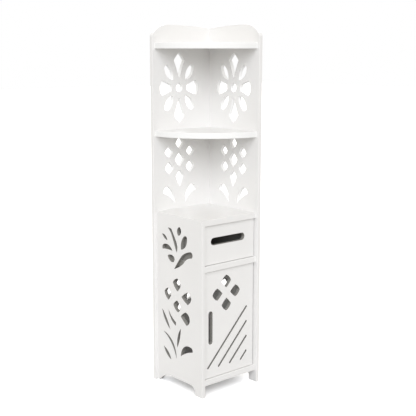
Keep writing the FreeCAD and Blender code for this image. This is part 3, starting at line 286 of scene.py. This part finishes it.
def raw_board():
    """Board for the drawer box, drawn grey as painted shade so that the drawer's inside reads dark: matt
    and finely pitted.
    """
    material, tree, coordinates = new_material("grey_shade_board")
    place = coordinates.outputs["Object"]
    pits = add_node(tree, "ShaderNodeTexVoronoi", {"Vector": place, "Scale": per_metre(DRAWER_PIT)})
    clouds = add_node(
        tree, "ShaderNodeTexNoise", {"Vector": place, "Scale": per_metre(DRAWER_CLOUD), "Detail": 4}
    )
    colour = add_node(
        tree, "ShaderNodeMix",
        {FACTOR: clouds.outputs["Fac"], COLOUR_A: linear(DRAWER_SHADE_PALE), COLOUR_B: linear(DRAWER_SHADE_DEEP)},
        data_type="RGBA",
    )
    bump = add_node(
        tree, "ShaderNodeBump", {"Height": pits.outputs["Distance"], "Strength": 0.25, "Distance": 0.3 * MM}
    )
    shader = add_node(
        tree, "ShaderNodeBsdfPrincipled",
        {
            "Base Color": colour.outputs[MIXED_COLOUR],
            "Roughness": 0.7, "Normal": bump.outputs[0], "IOR": 1.5,
        },
    )
    finish_material(tree, shader)
    return material


def zinc_plate():
    """Zinc-plated steel, from a tumbling barrel: bright, with a fine cloudy haze."""
    material, tree, coordinates = new_material("zinc_plated_steel")
    place = coordinates.outputs["Object"]
    haze = add_node(
        tree, "ShaderNodeTexNoise", {"Vector": place, "Scale": per_metre(ZINC_HAZE), "Detail": 4}
    )
    colour = add_node(
        tree, "ShaderNodeMix",
        {FACTOR: haze.outputs["Fac"], COLOUR_A: linear(ZINC_LIGHT), COLOUR_B: linear(ZINC_DULL)},
        data_type="RGBA",
    )
    roughness = add_node(
        tree, "ShaderNodeMapRange",
        {
            "Value": haze.outputs["Fac"],
            "From Min": NOISE_LOW, "From Max": NOISE_HIGH, "To Min": 0.26, "To Max": 0.44,
        },
    )
    shader = add_node(
        tree, "ShaderNodeBsdfPrincipled",
        {"Base Color": colour.outputs[MIXED_COLOUR], "Roughness": roughness.outputs[0], "Metallic": 1.0},
    )
    finish_material(tree, shader)
    return material


def beech(grain_axis):
    """Raw turned beech: pale, with short dark flecks along the peg."""
    material, tree, coordinates = new_material(f"turned_beech_{grain_axis.lower()}")
    stretch = [1 / FLECK_STRETCH if axis == grain_axis else 1 for axis in "XYZ"]
    drawn_out = add_node(
        tree, "ShaderNodeMapping", {"Vector": coordinates.outputs["Object"], "Scale": stretch}
    )
    flecks = add_node(
        tree, "ShaderNodeTexNoise",
        {"Vector": drawn_out.outputs[0], "Scale": per_metre(BEECH_FLECK), "Detail": 5},
    )
    colour = add_node(
        tree, "ShaderNodeMix",
        {FACTOR: flecks.outputs["Fac"], COLOUR_A: linear(BEECH_LIGHT), COLOUR_B: linear(BEECH_GRAIN)},
        data_type="RGBA",
    )
    bump = add_node(
        tree, "ShaderNodeBump", {"Height": flecks.outputs["Fac"], "Strength": 0.3, "Distance": 0.1 * MM}
    )
    shader = add_node(
        tree, "ShaderNodeBsdfPrincipled",
        {"Base Color": colour.outputs[MIXED_COLOUR], "Roughness": 0.65, "Normal": bump.outputs[0]},
    )
    finish_material(tree, shader)
    return material


def nylon():
    """Moulded white nylon: waxy, with the fine spark texture of its mould."""
    material, tree, coordinates = new_material("moulded_nylon")
    place = coordinates.outputs["Object"]
    spark = add_node(
        tree, "ShaderNodeTexNoise", {"Vector": place, "Scale": per_metre(NYLON_SPARK), "Detail": 2}
    )
    colour = add_node(
        tree, "ShaderNodeMix",
        {FACTOR: spark.outputs["Fac"], COLOUR_A: linear(NYLON_LIGHT), COLOUR_B: linear(NYLON_DULL)},
        data_type="RGBA",
    )
    bump = add_node(
        tree, "ShaderNodeBump", {"Height": spark.outputs["Fac"], "Strength": 0.2, "Distance": 0.1 * MM}
    )
    shader = add_node(
        tree, "ShaderNodeBsdfPrincipled",
        {
            "Base Color": colour.outputs[MIXED_COLOUR],
            "Roughness": 0.5, "Normal": bump.outputs[0], "IOR": 1.53,
        },
    )
    finish_material(tree, shader)
    return material


def ferrite():
    """Pressed and fired ferrite: nearly black and matt, with a grain like fine stone."""
    material, tree, coordinates = new_material("fired_ferrite")
    place = coordinates.outputs["Object"]
    grain = add_node(
        tree, "ShaderNodeTexNoise", {"Vector": place, "Scale": per_metre(FERRITE_GRAIN), "Detail": 5}
    )
    colour = add_node(
        tree, "ShaderNodeMix",
        {FACTOR: grain.outputs["Fac"], COLOUR_A: linear(FERRITE_LIGHT), COLOUR_B: linear(FERRITE_DARK)},
        data_type="RGBA",
    )
    bump = add_node(
        tree, "ShaderNodeBump", {"Height": grain.outputs["Fac"], "Strength": 0.4, "Distance": 0.1 * MM}
    )
    shader = add_node(
        tree, "ShaderNodeBsdfPrincipled",
        {"Base Color": colour.outputs[MIXED_COLOUR], "Roughness": 0.7, "Normal": bump.outputs[0]},
    )
    finish_material(tree, shader)
    return material


def paint(node_name, material):
    """Give a CAD node one material."""
    slots = frame["nodes"][node_name].data.materials
    slots.clear()
    slots.append(material)


def paint_unit():
    """Every node takes the material of its slot in the record, edged boards one of their own."""
    slot_materials = {
        "white_board": foam_board(),
        # The drawer box's slot: grey board, painted shade
        "raw_board": raw_board(),
        "zinc_steel": zinc_plate(),
        "white_nylon": nylon(),
        "ferrite": ferrite(),
    }
    own_materials = {node_name: foam_board(node_name) for node_name in EDGED}
    own_materials["dowels"] = beech("X")
    own_materials["drawer_dowels"] = beech("Y")
    for part in frame["record"]["subparts"]:
        node_name = part["node"]
        paint(node_name, own_materials.get(node_name) or slot_materials[part["material_slot"]])


# Light and floor. Each soft light: azimuth and height in degrees, and strength.
SOFT_LIGHTS = {"key": (43, 30, 2.2), "back_fill": (223, 22, 1.15)}
LIGHT_SPREAD = math.radians(50)
LIGHT_COLOUR = "F5F8FF"
AMBIENT = "FFFBF3"
AMBIENT_STRENGTH = 0.74
BACKGROUND = "FFFFFF"
FLOOR_SIZE = 40
FLOOR_COLOUR = "A6A6A6"
# Seen directly, the floor has two layers of colour, so that only the deeper shade shows on it
FLOOR_SEEN = ("FFFFFF", "C0C0C0")

# Camera: place in metres, tilt and turn in degrees, lens and sensor in millimetres
CAMERA_PLACE = (-1.69282, -1.96339, 1.03346)
CAMERA_TILT = 79.68
CAMERA_TURN = -40.91
CAMERA_LENS = 73.57
CAMERA_SENSOR = 36


def seen_directly(tree):
    """1 for rays from the camera, mirrors and clear pieces, and 0 for light that spreads."""
    path = add_node(tree, "ShaderNodeLightPath", {})
    either = add_node(
        tree, "ShaderNodeMath",
        {0: path.outputs["Is Camera Ray"], 1: path.outputs["Is Glossy Ray"]}, operation="MAXIMUM",
    )
    any_of_three = add_node(
        tree, "ShaderNodeMath",
        {0: either.outputs[0], 1: path.outputs["Is Transmission Ray"]}, operation="MAXIMUM",
    )
    return any_of_three.outputs[0]


def studio_world():
    """White where it is seen, and a faintly warm light from all around."""
    world = bpy.data.worlds.new("studio")
    world.use_nodes = True
    tree = world.node_tree
    tree.nodes.clear()
    dim_light = add_node(
        tree, "ShaderNodeBackground", {"Color": linear(AMBIENT), "Strength": AMBIENT_STRENGTH}
    )
    white = add_node(tree, "ShaderNodeBackground", {"Color": linear(BACKGROUND), "Strength": 1.0})
    mix = add_node(
        tree, "ShaderNodeMixShader", {0: seen_directly(tree), 1: dim_light.outputs[0], 2: white.outputs[0]}
    )
    add_node(tree, "ShaderNodeOutputWorld", {"Surface": mix.outputs[0]})
    bpy.context.scene.world = world


def studio_floor():
    """Pale floor that looks white where it is lit and keeps the shadow of the unit."""
    bpy.ops.mesh.primitive_plane_add(size=FLOOR_SIZE)
    floor = bpy.context.object
    floor.name = "studio_floor"
    material, tree, _ = new_material("pale_floor")
    matt = add_node(tree, "ShaderNodeBsdfDiffuse", {"Color": linear(FLOOR_COLOUR)})
    layers = [add_node(tree, "ShaderNodeBsdfDiffuse", {"Color": linear(shade)}) for shade in FLOOR_SEEN]
    bright = add_node(tree, "ShaderNodeAddShader", {0: layers[0].outputs[0], 1: layers[1].outputs[0]})
    mix = add_node(
        tree, "ShaderNodeMixShader", {0: seen_directly(tree), 1: matt.outputs[0], 2: bright.outputs[0]}
    )
    finish_material(tree, mix)
    floor.data.materials.append(material)


def soft_lights():
    """A broad soft light high behind the camera, and a weaker one low behind the unit."""
    for name, (azimuth, height, strength) in SOFT_LIGHTS.items():
        around = math.radians(azimuth)
        up = math.radians(height)
        level = math.cos(up)
        towards_light = Vector((-level * math.sin(around), -level * math.cos(around), math.sin(up)))
        lamp = bpy.data.lights.new(name, "SUN")
        lamp.angle = LIGHT_SPREAD
        lamp.energy = strength
        lamp.color = linear(LIGHT_COLOUR)[:3]
        light = bpy.data.objects.new(name, lamp)
        light.rotation_euler = towards_light.to_track_quat("Z", "Y").to_euler()
        bpy.context.scene.collection.objects.link(light)


def photo_camera():
    """Camera at the reference photograph's viewing angle."""
    lens = bpy.data.cameras.new("camera")
    lens.sensor_width = CAMERA_SENSOR
    lens.lens = CAMERA_LENS
    camera = bpy.data.objects.new("camera", lens)
    camera.location = CAMERA_PLACE
    camera.rotation_euler = (math.radians(CAMERA_TILT), 0, math.radians(CAMERA_TURN))
    bpy.context.scene.collection.objects.link(camera)
    bpy.context.scene.camera = camera


paint_unit()
studio_world()
studio_floor()
soft_lights()
photo_camera()
bpy.context.scene.view_settings.view_transform = "Standard"
